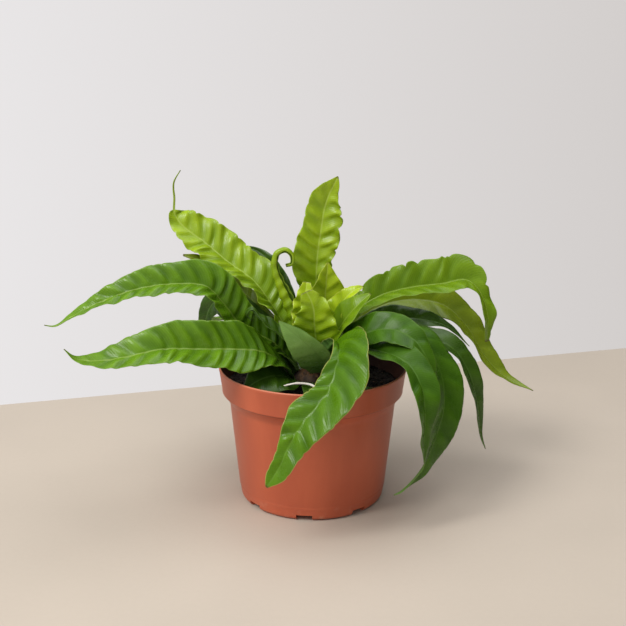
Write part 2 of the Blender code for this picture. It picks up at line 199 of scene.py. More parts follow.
def revolved(name, r, z, turned=False):
    # a closed shape about Z: each row of r and z is a ring of points (r cos a, r sin a, z)
    rows, turns = r.shape
    angle = np.linspace(0, 2 * pi, turns, endpoint=False)
    rings = np.stack([r * np.cos(angle), r * np.sin(angle), z], -1).reshape(-1, 3)
    ends = [(0, 0, z[0].mean()), (0, 0, z[-1].mean())]
    return outwards(meshOf(name, np.concatenate([rings, ends]) * mm, ringFaces(rows, turns, turned)))


def eased(values, share):
    # a smooth curve through evenly spaced stations, read at each share of its length
    knots = np.asarray(values, float)
    if len(knots) == 1:
        return np.full(np.shape(share), knots[0])
    spot = np.clip(np.asarray(share) * (len(knots) - 1), 0, len(knots) - 1 - 1e-9)
    k = spot.astype(int)
    t = spot - k
    ends = np.r_[2 * knots[0] - knots[1], knots, 2 * knots[-1] - knots[-2]]
    a, b, c, d = ends[k], ends[k + 1], ends[k + 2], ends[k + 3]
    return 0.5 * (2 * b + (c - a) * t + (2 * a - 5 * b + 4 * c - d) * t ** 2
                  + (3 * b - a - 3 * c + d) * t ** 3)


def smoothRoute(points, count):
    # cubic pieces through the points, with slopes from their neighbours, read at even steps of length
    knots = np.asarray(points, float)
    chords = np.linalg.norm(np.diff(knots, axis=0), axis=1)
    at = np.r_[0, np.cumsum(np.sqrt(chords))]
    slope = np.gradient(knots, at, axis=0)
    fine = np.linspace(0, at[-1], 1600)
    k = np.clip(np.searchsorted(at, fine, side="right") - 1, 0, len(at) - 2)
    span = (at[k + 1] - at[k])[:, None]
    s = (fine - at[k])[:, None] / span
    curve = ((2 * s ** 3 - 3 * s ** 2 + 1) * knots[k] + (s ** 3 - 2 * s ** 2 + s) * span * slope[k]
             + (3 * s ** 2 - 2 * s ** 3) * knots[k + 1] + (s ** 3 - s ** 2) * span * slope[k + 1])
    length = np.r_[0, np.cumsum(np.linalg.norm(np.diff(curve, axis=0), axis=1))]
    want = np.linspace(0, length[-1], count)
    return np.stack([np.interp(want, length, curve[:, axis]) for axis in range(3)], -1), length[-1]


def drift(share, waves, seed):
    # a slow wander: three sines of odd lengths with seeded phases, between about -1 and 1
    phases = np.random.default_rng(seed).uniform(0, 2 * pi, 3)
    return (0.5 * np.sin(2 * pi * waves * share + phases[0])
            + 0.3 * np.sin(2 * pi * 1.73 * waves * share + phases[1])
            + 0.2 * np.sin(2 * pi * 2.9 * waves * share + phases[2]))


def unit(vectors):
    return vectors / np.maximum(np.linalg.norm(vectors, axis=-1, keepdims=True), 1e-12)


# camera: stands in front of the pot, a little above it
camera = dict(place=(0.0, -0.582, 0.2723), down=14.6, tilt=0.3, lens=54.63, sensor=36.0, clip=0.02)


def makeCamera():
    data = bpy.data.cameras.new("camera")
    data.lens = camera["lens"]
    data.sensor_width = camera["sensor"]
    data.clip_start = camera["clip"]
    eye = link("camera", data)
    eye.location = camera["place"]
    level = Matrix.Rotation(radians(90 - camera["down"]), 3, "X")
    eye.rotation_euler = (level @ Matrix.Rotation(radians(camera["tilt"]), 3, "Z")).to_euler()
    bpy.context.scene.camera = eye


makeCamera()

# Fronds. route: the midrib in millimetres from the crown to the tip. width: the blade at its widest.
# outline: share of that width along the frond. left, right: more or less of it to each side of the
# midrib. roll: turn of the blade about its midrib. aim: compass direction the blade is laid out for.
# fold: how far each half rises. calm: share of ruffle and notch on each side. tail: share of the length
# drawn out to a thread. blunt: how late the end rounds off, 0 for a pointed one. thread: half width of the
# thread. pleat: height and spacing of the folds between the side veins. ruffle: height and length of the
# waves in the margins. notch: depth and spacing of the bites in them. look: which leaf colours it takes.
plainFrond = dict(outline=(0.35, 0.6, 0.9, 1, 0.95, 0.7, 0.35, 0.02), left=(1,), right=(1,), roll=(0,),
                  fold=(18,), calm=(1, 1), tail=0, blunt=0, thread=0.95, pleat=(0.45, 8.5),
                  ruffle=(0.7, 20), notch=(0.35, 9), look="green")
fronds = {
    "frond_long_left": dict(
        route=((-10, -1, 85), (-25, -1, 101), (-45, -6, 114), (-56, -12, 130), (-66, -15, 141),
               (-84, -18, 143), (-105, -22, 141), (-127, -26, 134), (-145, -28, 125), (-156, -29, 119),
               (-162, -30, 120)), width=31,
        outline=(0.32, 0.55, 0.8, 0.95, 1, 0.9, 0.72, 0.5, 0.25, 0.03),
        roll=(0, -40, -58, -45, -42, -40, -35, -20, 0), fold=(15, 20, 28, 32, 30, 25, 20, 10),
        pleat=(1.45, 7.2), ruffle=(0.7, 24)),
    "frond_low_left": dict(
        route=((-12, -5, 79), (-20, -14, 93), (-32, -23, 102), (-47, -32, 106), (-67, -42, 109),
               (-89, -50, 111), (-109, -56, 108), (-125, -60, 107), (-136, -62, 109), (-142, -63, 115)),
        width=35, outline=(0.32, 0.55, 0.8, 1, 1, 0.97, 0.8, 0.62, 0.4, 0.03),
        roll=(-10, -15, -45, -50, -42, -35, -20, -10), fold=(5, 8, 15, 28, 25, 10, 0), pleat=(1.4, 7.6),
        ruffle=(0.6, 26)),
    "frond_thread_tip": dict(
        route=((-7, 2, 89), (-17, 8, 107), (-27, 12, 123), (-39, 16, 138), (-55, 20, 149),
               (-70, 24, 161), (-84, 27, 171), (-90, 29, 179), (-90, 30, 189), (-90, 30, 199),
               (-85.5, 30, 207)), width=34, outline=(0.32, 0.6, 0.85, 0.95, 1, 1, 1, 0.97, 0.92, 0.88),
        left=(1, 1, 1, 1, 1, 1, 1, 0.95, 0.85, 1, 1), right=(1, 1, 1, 1, 1, 1, 0.85, 0.7, 0.45, 1, 1),
        roll=(0, -8, -15, -20, -26, -32, -40, -48, -52, -30, 0),
        fold=(30, 30, 30, 30, 30, 28, 22, 14, 8, 8, 8), tail=0.17, blunt=22, thread=1.3, pleat=(1.2, 7),
        ruffle=(1.5, 15), notch=(1.2, 13), look="light"),
    "frond_behind_thread_tip": dict(
        route=((-7, 7, 85), (-14, 20, 106), (-20, 31, 129), (-29, 39, 146), (-40, 44, 153),
               (-52, 46, 155)), width=24, left=(0.55,), roll=(0, -20, -50, -50), pleat=(0.4, 8),
        ruffle=(0.5, 20), look="dark"),
    "frond_withered": dict(
        route=((-11, 7, 79), (-20, 17, 97), (-30, 23, 111), (-42, 26, 124), (-54, 26, 135),
               (-66, 22, 146), (-75, 17, 152), (-83, 13, 155)), width=15,
        outline=(0.3, 0.4, 0.6, 0.9, 1, 1, 0.8, 0.5, 0.1), roll=(0, -20, -50), fold=(14,),
        pleat=(0.3, 7), ruffle=(0.5, 14), look="olive"),
    "frond_hanging_left": dict(
        route=((-13, 2, 79), (-22, 7, 95), (-37, 12, 109), (-52, 15, 120), (-62, 18, 124),
               (-68, 20, 117), (-71, 21, 104), (-70, 20, 90)), width=22, roll=(0, -40, -70, -90),
        pleat=(0.5, 8), ruffle=(0.6, 20), look="dark"),
    "frond_curled_left": dict(
        route=((-6, -4, 90), (-12, -9, 103), (-23, -13, 112), (-33, -15, 121), (-38, -14, 126),
               (-41, -13, 123), (-38, -12, 119)), width=16, outline=(0.32, 0.55, 1, 1, 0.8, 0.4, 0.05),
        roll=(0, -20, 0), pleat=(0.6, 6), ruffle=(0.6, 14), look="dark"),
    "frond_upright": dict(
        route=((0, 7, 89), (2, 12, 107), (2, 13, 127), (2, 12, 143), (3, 12, 159), (5, 12, 173),
               (7, 12, 186), (10, 11, 195), (15, 8, 206)), width=30,
        outline=(0.25, 0.33, 0.45, 0.6, 0.8, 1, 1, 0.9, 0.8, 0.65, 0.03),
        left=(1, 1, 0.9, 0.8, 0.67, 0.62, 0.82, 0.97, 1.03, 0.62, 1),
        right=(1, 1, 1, 1, 1, 1.07, 1, 0.97, 0.95, 0.95, 1), roll=(180, 180, 180, 175, 170), aim=-90,
        fold=(12,), calm=(1, 0.35), pleat=(1.1, 7), ruffle=(1.7, 9.5), notch=(1.8, 12), look="light"),
    "frond_young_middle": dict(
        route=((4, 5, 90), (5, 6, 107), (7, 5, 124), (8, 5, 138), (9, 6, 152)), width=33,
        outline=(0.3, 0.6, 1, 1, 0.62, 0.05), roll=(180,), aim=-60, fold=(14,), pleat=(0.6, 6),
        ruffle=(0.8, 12), look="young"),
    "frond_young_folded": dict(
        route=((7, 0, 89), (10, -5, 108), (15, -9, 124), (21, -11, 134), (27, -11, 139), (31, -9, 140)),
        width=21, outline=(0.3, 0.6, 1, 1, 0.8, 0.5, 0.06), roll=(0, 50, 62, 60, 50), pleat=(0.5, 6),
        ruffle=(1.3, 11), notch=(1.2, 8), look="young"),
    "frond_young_curled": dict(
        route=((0, -6, 90), (-2, -11, 107), (-5, -14, 123), (-5, -16, 134), (-4, -14, 144)), width=17,
        outline=(0.3, 0.6, 1, 1, 0.8, 0.3), roll=(180,), aim=-90, pleat=(0.6, 5), ruffle=(1.9, 6.5),
        look="young"),
    "frond_young_front": dict(
        route=((2, -8, 88), (2, -18, 106), (1, -24, 119), (0, -27, 132), (-4, -27, 141)), width=31,
        outline=(0.5, 0.9, 1, 1, 0.9, 0.65, 0.25), roll=(180,), aim=-90, fold=(14,), pleat=(1, 6.5),
        ruffle=(1.8, 10), notch=(2.2, 9), look="light"),
    "frond_olive_folded": dict(
        route=((5, -5, 89), (12, -13, 105), (19, -19, 120), (27, -22, 131), (35, -20, 138)), width=24,
        outline=(0.4, 0.8, 1, 1, 0.75, 0.1), roll=(0, 40, 50), pleat=(0.4, 8), ruffle=(0.5, 16),
        look="upper"),
    "frond_upper_right": dict(
        route=((9, 5, 85), (17, 9, 103), (27, 12, 118), (43, 12, 129), (63, 15, 134), (84, 18, 136),
               (99, 20, 138), (107, 18, 132), (113, 14, 116), (113, 12, 99)), width=34,
        outline=(0.32, 0.55, 0.85, 1, 1, 1, 1, 0.95, 0.5, 0.44, 0.12),
        left=(1, 1, 0.9, 0.85, 0.8, 0.8, 0.8, 0.8, 0.9, 0.9, 1),
        right=(0.4, 0.45, 0.5, 0.6, 0.88, 1, 0.97, 1.12, 0.8, 0.9, 1),
        roll=(0, 20, 36, 40, 42, 42, 50, 50), fold=(18, 30, 36, 34, 30, 25, 10), calm=(0.25, 1),
        pleat=(0.6, 9), ruffle=(1.9, 21), notch=(2.6, 20), look="upper"),
    "frond_olive_right": dict(
        route=((11, 7, 79), (19, 16, 95), (32, 27, 110), (51, 37, 118), (72, 43, 119), (90, 46, 114),
               (106, 45, 99), (117, 40, 81), (132, 36, 66), (150, 30, 59)), width=28,
        outline=(0.32, 0.55, 0.8, 1, 1, 1, 0.95, 0.85, 0.45, 0.03), roll=(0, 30, 45, 45, 40, 35, 10),
        pleat=(0.35, 12), ruffle=(0.7, 28), look="olive"),
    "frond_dark_right": dict(
        route=((13, 2, 79), (22, 6, 94), (34, 10, 107), (51, 14, 113), (72, 17, 112), (88, 18, 107),
               (103, 18, 94)), width=20, roll=(0, 30, 30, 20), pleat=(0.4, 10), ruffle=(0.6, 26),
        look="dark"),
    "frond_hanging_front_right": dict(
        route=((9, -9, 79), (18, -21, 96), (30, -35, 107), (44, -49, 109), (55, -61, 106), (62, -69, 95),
               (64, -73, 79), (64, -73, 62), (65, -70, 49)), width=24,
        outline=(0.4, 0.6, 0.9, 1, 1, 0.95, 0.92, 0.72, 0.4, 0.03),
        left=(1, 1, 1, 1, 0.8, 0.6, 0.75, 1, 1, 1), roll=(0, 5, 18, 15, 5, -5, -15), pleat=(0.6, 12),
        ruffle=(1, 30), look="deepgreen"),
    "frond_narrow_right": dict(
        route=((8, -7, 85), (18, -19, 102), (31, -31, 116), (48, -40, 121), (60, -47, 116),
               (68, -52, 104), (72, -54, 86)), width=24,
        outline=(0.5, 0.75, 1, 1, 0.9, 0.66, 0.35, 0.03), roll=(0, 35, 48, 40, 15, -10), fold=(12,),
        pleat=(0.6, 10), ruffle=(1, 24), look="deepgreen"),
    "frond_big_hanging_right": dict(
        route=((10, -1, 85), (20, -2.5, 102), (35, -8, 112), (52, -19, 115), (67, -29, 110),
               (76, -37, 96), (79, -43, 77), (74, -50, 58), (65, -58, 40), (53, -66, 30), (48, -68, 28)),
        width=31, outline=(0.4, 0.5, 0.65, 0.85, 1, 1.05, 1, 0.9, 0.68, 0.34, 0.04),
        roll=(0, 0, -5, 0, 15, 5, -10), fold=(6, 8, 14, 18), pleat=(0.5, 12), ruffle=(0.9, 30),
        look="deepgreen"),
    "frond_hooked_right": dict(
        route=((13, -3, 79), (23, -6, 94), (36, -8, 104), (52, -10, 109), (70, -12, 108), (87, -14, 102),
               (98, -15, 86), (104, -16, 65), (107, -16, 45), (111, -14, 35)), width=20,
        outline=(0.32, 0.55, 0.8, 1, 1, 1, 0.9, 0.7, 0.3, 0.03), roll=(0, 10, 20, 30, 30),
        pleat=(0.4, 12), ruffle=(0.6, 30), look="dark"),
    "frond_front": dict(
        route=((3, -10, 85), (8, -22, 101), (13, -37, 112), (15, -50, 112), (13, -62, 103), (8, -70, 91),
               (-3, -76, 79), (-12, -80, 66), (-19, -83, 51), (-26, -84, 40)), width=40,
        outline=(0.3, 0.6, 0.9, 1, 1, 1, 1, 1, 0.95, 0.6, 0.04),
        left=(1, 0.6, 0.3, 0.18, 0.2, 0.4, 0.5, 0.6, 0.4, 0.45, 1),
        right=(1, 0.8, 0.75, 0.85, 1.1, 1.22, 1, 0.8, 0.62, 0.68, 1), roll=(0, 0, 0, 0, 0, -3, -5, -8),
        fold=(18, 25, 35, 38, 30, 18, 15, 14, 14, 14, 12), pleat=(1.25, 8.5), ruffle=(0.9, 22),
        notch=(0.8, 11), look="front"),
    "frond_glossy_front": dict(
        route=((5, -11, 85), (6, -24, 96), (1, -34, 106), (-8, -40, 116), (-20, -43, 127)), width=27,
        outline=(0.5, 0.95, 1, 0.95, 0.6, 0.04), left=(0.6,), roll=(180, 184, 188), aim=-90, fold=(10,),
        pleat=(0.2, 9), ruffle=(0.3, 24), look="paintedSheen"),
    "frond_in_pot_left": dict(
        route=((-9, -10, 78.5), (-17, -18, 84), (-26, -26, 87), (-35, -32, 85), (-43, -35, 79.5)),
        width=30, roll=(0, -25, -35, -20), fold=(8,), look="dark"),
    "frond_in_pot_front": dict(
        route=((0, -13, 78.5), (0, -24, 81), (-2, -36, 82), (-4, -46, 79)), width=12, fold=(8,),
        look="dark"),
    "frond_in_pot_right": dict(
        route=((4, -13, 78.5), (12, -24, 81), (23, -33, 82), (34, -37, 82), (46, -32, 81)), width=11,
        roll=(0, 20), fold=(8,), look="dark"),
    "frond_back_right": dict(
        route=((8, 10, 79), (22, 32, 94), (43, 58, 100), (68, 82, 93), (88, 100, 74)), width=24),
    "frond_back_mid_right": dict(
        route=((3, 13, 79), (9, 40, 97), (20, 75, 106), (31, 105, 102), (38, 128, 84)), width=22),
    "frond_back_mid_left": dict(
        route=((-3, 13, 79), (-8, 38, 94), (-16, 72, 101), (-23, 102, 96), (-28, 124, 78)), width=22),
    "frond_back_left": dict(
        route=((-8, 10, 79), (-26, 31, 93), (-50, 54, 100), (-73, 76, 94), (-92, 90, 77)), width=24),
    "frond_back_short": dict(
        route=((2, 10, 85), (4, 28, 106), (5, 50, 121), (6, 73, 126), (7, 96, 119)), width=20),
}

# What every blade has, in mm: step along and columns across, thickness, midrib above and below, slant of
# the side veins, share of the pleats that reaches the margin, and how far and often the margin wanders
bladeHabit = dict(step=0.85, rowsLow=60, rowsHigh=280, columns=31, thick=0.42, ribTop=0.16, ribKeel=0.80,
                  ribWide=0.60, slant=0.55, marginPleat=0.35, wander=0.05, wanderLong=38, shiftLong=45,
                  strengthLong=30, ruffleLong=60, seed=100, seedStep=7)


def headingOf(frond, middle):
    # as given, or from the crown towards the point of the midrib that is farthest out
    if "aim" in frond:
        return radians(frond["aim"])
    reach = np.linalg.norm((middle - middle[0])[:, :2], axis=1)
    far = middle[np.argmax(reach)] - middle[0]
    return np.arctan2(far[1], far[0])


def bladeSurface(frond, seed):
    # The middle surface of a blade, points (along, across) in mm. A point at share v of the half width w
    # lies at midrib + v*w*cos(fold)*side + w*sin(fold)*(1.4|v| - 0.4v^2)*up, then moves along the normal by
    # pleat height * bulge(v) * sin(vein place) and by ruffle height * v^2.2 * sin(place along).
    habit = bladeHabit
    length = smoothRoute(frond["route"], 2)[1]
    rows = int(max(habit["rowsLow"], min(habit["rowsHigh"], length / habit["step"])))
    middle = smoothRoute(frond["route"], rows)[0]
    share = np.linspace(0, 1, rows)
    s = share[:, None]
    place = s * length
    v = np.linspace(-1, 1, habit["columns"])[None, :]
    size = np.abs(v)

    def bySide(minus, plus):
        return np.where(v < 0, minus, plus)

    def along(values):
        return eased(values, share)[:, None]

    def wave(waveLong, number):
        return drift(share, length / waveLong, seed + number)[:, None]

    way = unit(np.gradient(middle, axis=0))
    heading = headingOf(frond, middle)
    level = np.array([-sin(heading), cos(heading), 0.0])
    side = unit(level - (way @ level)[:, None] * way)
    up = np.cross(way, side)
    roll = np.radians(along(frond["roll"]))
    side, up = side * np.cos(roll) + up * np.sin(roll), up * np.cos(roll) - side * np.sin(roll)
    fold = np.radians(along(frond["fold"]))
    blade = np.clip(share / (1 - frond["tail"]), 0, 1)
    outline = eased(frond["outline"], blade)
    if frond["blunt"]:
        outline = outline * np.sqrt(np.clip(1 - blade ** frond["blunt"], 0, 1))
    half = np.maximum(frond["width"] / 2 * outline, frond["thread"] * (1 - 0.6 * share ** 4))
    # width of each side, with a margin that wanders and has bites in it
    calm = bySide(*frond["calm"])
    wander = bySide(wave(habit["wanderLong"], 11), wave(habit["wanderLong"], 12))
    w = half[:, None] * bySide(along(frond["left"]), along(frond["right"]))
    w = w * (1 + habit["wander"] * wander * size)
    deep, lobe = frond["notch"]
    bite = (1 - np.abs(np.sin(pi * place / lobe + 2.2 * wander + bySide(0.4, 1.7)))) ** 2
    w = w - deep * calm * bite * size ** 4 * np.clip(w / 8, 0, 1)
    fit = np.clip(w / 7, 0, 1)  # narrow places stay flat
    # folds between the side veins
    turns = np.random.default_rng(seed).uniform(0, 2 * pi, 4)
    tall, spacing = frond["pleat"]
    vein = place - habit["slant"] * size ** 1.25 * w
    shift = bySide(turns[0], turns[1]) + 1.1 * wave(habit["shiftLong"], 3)
    angle = 2 * pi * vein / spacing / (1 + 0.35 * (s - 0.5)) + shift
    pleat = np.sin(angle + 0.45 * np.sin(angle))
    strength = 0.75 + 0.5 * wave(habit["strengthLong"], 5)
    atMargin = habit["marginPleat"]
    bulge = np.sin(pi * np.clip(size, 0, 1) ** 0.75) ** 0.8 * (1 - atMargin) + atMargin * size
    fade = np.clip(s / 0.10, 0, 1) * np.clip((1 - s) / 0.22, 0, 1) ** 0.8
    lift = tall * strength * bulge * fade * fit * pleat
    # waves in the margins
    waveTall, waveLong = frond["ruffle"]
    edgeAngle = 2 * pi * place / waveLong + bySide(turns[2], turns[3]) + 0.9 * wave(habit["ruffleLong"], 7)
    edgeFade = np.clip(s / 0.15, 0, 1) * np.clip((1 - s) / 0.15, 0, 1)
    lift = lift + waveTall * calm * fit * size ** 2.2 * np.sin(edgeAngle) * edgeFade
    out = w * v * np.cos(fold)
    rise = w * np.sin(fold) * (1.4 * size - 0.4 * size ** 2)
    tilt = np.clip(size / 0.15, 0, 1) * np.sign(v) * np.sin(fold)
    normal = up[:, None] * np.sqrt(1 - tilt ** 2)[..., None] - side[:, None] * tilt[..., None]
    points = (middle[:, None] + out[..., None] * side[:, None] + rise[..., None] * up[:, None]
              + lift[..., None] * normal)
    # the pleat crest value, which the leaf colour lightens as a painted highlight
    facts = dict(vein=vein, rib=size * w, edge=(1 - size) * w, share=s, crestHighlight=pleat * bulge * fade * fit)
    return points, w, facts


def bladeMesh(name, frond, seed):
    # Two skins, half the thickness to each side of the middle surface, joined round the margins. The
    # midrib stands out of both as a ridge: height * exp(-(distance / width)^2), more on the underside.
    middle, width, facts = bladeSurface(frond, seed)
    rows, columns = middle.shape[:2]
    normal = unit(np.cross(np.gradient(middle, axis=0), np.gradient(middle, axis=1)))
    habit = bladeHabit
    size = np.abs(np.linspace(-1, 1, columns))[None, :]
    thick = habit["thick"] / 2 * (1 - 0.65 * size ** 5)
    ridge = np.exp(-(facts["rib"] / habit["ribWide"]) ** 2) * np.clip(1.15 - facts["share"], 0.15, 1)
    ridge = ridge * np.clip(width / 3, 0.2, 1)
    top = middle + normal * (thick + habit["ribTop"] * ridge)[..., None]
    bottom = middle - normal * (thick + habit["ribKeel"] * ridge)[..., None]
    mesh = meshOf(name, np.stack([top, bottom]) * mm, shellFaces(rows, columns))
    addReadings(mesh, **facts)
    return mesh


def addReadings(mesh, vein, rib, edge, share, crestHighlight):
    # What the leaf materials read at each point, upper skin first. ribs: place along the side veins, way
    # from the midrib and way from the margin, in mm. lie: share of the way to the tip, pleat crest height,
    # which the leaf colour turns into a painted highlight, and 1 on the underside.
    vein, rib, edge, share, crestHighlight = np.broadcast_arrays(vein, rib, edge, share, crestHighlight)
    above, below = np.zeros_like(rib), np.ones_like(rib)
    readings = {"ribs": [(vein, rib, edge)] * 2, "lie": [(share, crestHighlight, above), (share, crestHighlight, below)]}
    for name, skins in readings.items():
        store = mesh.attributes.new(name, "FLOAT_VECTOR", "POINT")
        values = np.stack([np.stack(skin, -1) for skin in skins])
        store.data.foreach_set("vector", values.astype(np.float32).ravel())


# Leaf colours. deep: in the shade of the plant. fresh: where the blade is bright. rib, rim: lines of midrib
# and margin. glow: light that comes through. ripe: how much the blade brightens towards its tip. base: how
# far up the stalk end is painted in the deep colour, as painted shade inside the crown. line: strength of
# the
# midrib line. shine: specular level.
leafLooks = {
    "green": dict(deep=(0.044, 0.130, 0.002), fresh=(0.190, 0.385, 0.006), rib=(0.36, 0.50, 0.09),
                  rim=(0.26, 0.40, 0.04), glow=(0.30, 0.52, 0.01), ripe=0.25),
    # dark: a darker copy of the green for fronds behind others and inside the pot: painted shade
    "dark": dict(deep=(0.020, 0.056, 0.003), fresh=(0.062, 0.140, 0.006), rib=(0.13, 0.24, 0.05),
                 rim=(0.11, 0.20, 0.03), glow=(0.12, 0.28, 0.01), ripe=0.1),
    "light": dict(deep=(0.140, 0.265, 0.003), fresh=(0.400, 0.560, 0.010), rib=(0.52, 0.66, 0.12),
                  rim=(0.42, 0.54, 0.05), glow=(0.52, 0.70, 0.01), ripe=0.35, base=0.6),
    "upper": dict(deep=(0.085, 0.180, 0.003), fresh=(0.200, 0.340, 0.006), rib=(0.34, 0.48, 0.06),
                  rim=(0.28, 0.42, 0.03), glow=(0.40, 0.60, 0.01), ripe=0.35, shine=0.3),
    "young": dict(deep=(0.260, 0.400, 0.006), fresh=(0.520, 0.680, 0.014), rib=(0.60, 0.72, 0.12),
                  rim=(0.62, 0.66, 0.10), glow=(0.66, 0.80, 0.02), ripe=0.4, base=0.75),
    "deepgreen": dict(deep=(0.024, 0.078, 0.003), fresh=(0.080, 0.195, 0.006), rib=(0.16, 0.30, 0.05),
                      rim=(0.14, 0.26, 0.03), glow=(0.18, 0.38, 0.01), ripe=0.2, line=0.3, shine=0.22),
    # a pale grey-green base colour that stands for the sheen on the shaded front leaf and lifts it against
    # its shade: painted sheen and painted light
    "paintedSheen": dict(deep=(0.200, 0.400, 0.080), fresh=(0.320, 0.560, 0.130), rib=(0.10, 0.20, 0.03),
                   rim=(0.11, 0.22, 0.03), glow=(0.14, 0.30, 0.01), ripe=0.1, line=0.2),
    "olive": dict(deep=(0.110, 0.175, 0.005), fresh=(0.240, 0.330, 0.010), rib=(0.26, 0.34, 0.07),
                  rim=(0.22, 0.22, 0.04), glow=(0.32, 0.42, 0.02), ripe=0.5),
    "front": dict(deep=(0.034, 0.105, 0.001), fresh=(0.125, 0.285, 0.001), rib=(0.16, 0.32, 0.03),
                  rim=(0.55, 0.52, 0.14), glow=(0.22, 0.38, 0.003), ripe=0.3, shine=0.32),
}
plainLook = dict(shine=0.40, base=0.45, line=0.55)
leafSurface = dict(roughTop=0.27, roughUnder=0.50, through=0.22, veinSpacing=1.35, veinDepth=0.00012,
                   tipBrown=(0.10, 0.05, 0.02), underPale=(0.20, 0.34, 0.12))


def leafMaterial(name, own):
    look = {**plainLook, **own}
    rules = leafSurface
    sheet = sheetFor("leaf_" + name)
    ribs, lie = sheet.reading("ribs"), sheet.reading("lie")
    vein, rib, edge = ribs.part(0), ribs.part(1), ribs.part(2)
    share, crestHighlight, under = lie.part(0), lie.part(1), lie.part(2)
    place = sheet.place()
    blotch = sheet.noise(place, 55, 3, 0.55)
    speck = sheet.noise(place, 420, 3, 0.6)
    # brightness of the green: cloudy patches, a painted highlight on the pleat crests, and the way from base
    # to tip
    bright = (blotch.between(0.3, 0.7) * 0.34 + speck * 0.18 + crestHighlight * 0.26 + share * look["ripe"] + 0.10)
    colour = sheet.mix(bright, look["deep"], look["fresh"])
    # the stalk end fades to the deep colour: painted shade inside the crown
    colour = sheet.mix(share.between(look["base"], 0.10) * 0.8, colour, look["deep"])
    lines = (vein * (2 * pi / rules["veinSpacing"])).maths("SINE") * 0.5 + 0.5
    colour = sheet.mix(lines ** 5 * rib.between(0.6, 1.6) * 0.16, colour, look["rib"])
    colour = sheet.mix(rib.between(0.75, 0.25) * look["line"], colour, look["rib"])
    colour = sheet.mix(edge.between(0.60, 0.15) * 0.65, colour, look["rim"])
    colour = sheet.mix(share.between(0.985, 1.0) * 0.8, colour, rules["tipBrown"])
    colour = sheet.mix(under, colour, sheet.mix(0.35, colour, rules["underPale"]))
    rough = (blotch * 0.12 + speck * 0.08 + under * (rules["roughUnder"] - rules["roughTop"])
             + (rules["roughTop"] - 0.1))
    height = lines ** 3 * 0.5 + speck * 0.25 + sheet.noise(place, 1500, 2) * 0.3
    sheet.finish(look["shine"], colour, rough, height, rules["veinDepth"], 0.7)
    skin = Wire(sheet, sheet.tree.nodes["Principled BSDF"].outputs[0])
    through = sheet.node("ShaderNodeBsdfTranslucent", {}, {"Color": look["glow"]})
    both = sheet.node("ShaderNodeMixShader", {}, {0: rules["through"], 1: skin, 2: through})
    sheet.plug(sheet.tree.nodes["Material Output"].inputs["Surface"], both)
    return sheet.owner


def makeFronds():
    finishes = {name: leafMaterial(name, look) for name, look in leafLooks.items()}
    for number, (node, own) in enumerate(fronds.items()):
        frond = {**plainFrond, **own}
        look = frond["look"]
        mesh = bladeMesh(node + "_blade", frond, bladeHabit["seed"] + bladeHabit["seedStep"] * number)
        addPiece(node + "_blade", mesh, [finishes[look]], [node])
    print("fronds:", len(fronds))


makeFronds()

# The pot: radii and heights in mm, as the frame has them
pot = dict(rim=60.0, high=87.0, bandFoot=57.8, bandHigh=16.5, shoulder=5.5, wallTop=53.3, foot=46.8,
           rounding=3.0, wall=1.3, floor=5.0, turns=240, drains=8, drainTurn=-6.0, channelWide=10.0,
           channelHigh=3.6, channelStart=13.0, channelPast=6.0, hole=3.5, holePlace=30.0, sharp=35)


def arc(r, z, radius, start, stop, count):
    angle = np.radians(np.linspace(start, stop, count))
    return list(zip(r + radius * np.cos(angle), z + radius * np.sin(angle)))


def potProfile():
    # (radius, height) from the middle of the floor up the inside, over the lip and down the outside
    rim, high, foot, bandFoot = pot["rim"], pot["high"], pot["foot"], pot["bandFoot"]
    wallTop, floor, wall, rounding = pot["wallTop"], pot["floor"], pot["wall"], pot["rounding"]
    lip = wall / 2
    band = high - pot["bandHigh"]
    shoulder = band - pot["shoulder"]
    inside = [(2, floor), (20, floor), (foot - wall - 3.2, floor)]
    inside += arc(foot - wall - 2.4, floor + 2.4, 2.4, -70, 0, 5)
    inside += [(wallTop - wall - 0.5, shoulder - 3), (wallTop - wall + 0.1, shoulder + 0.6)]
    inside += [(bandFoot - wall - 0.7, band + 0.1), (bandFoot - wall, band + 1.4)]
    inside += [(rim - wall - 0.1, high - 3)]
    lipArc = arc(rim - lip, high - lip, lip, 180, 0, 11)
    outside = [(rim - 0.05, high - 1.6), (rim - 0.28, high - 2.4), (bandFoot + 0.22, band + 1.6)]
    outside += arc(bandFoot - 0.5, band + 0.75, 0.75, 0, -75, 6)
    outside += [(bandFoot - 1.3, band - 0.55), (wallTop + 0.9, shoulder + 0.7)]
    outside += [(wallTop + 0.15, shoulder - 0.2), (wallTop - 0.15, shoulder - 2.4)]
    # a faint ring line near the foot
    outside += [(foot + 1.05, 9.6), (foot + 0.85, 9.0), (foot + 0.95, 8.4)]
    outside += [(foot + 0.7, 7.6), (foot + 0.3, 5.2)]
    bottom = arc(foot - rounding, rounding, rounding, 0, -90, 9)
    return np.array(inside + lipArc + outside + bottom + [(30, 0), (2, 0)])


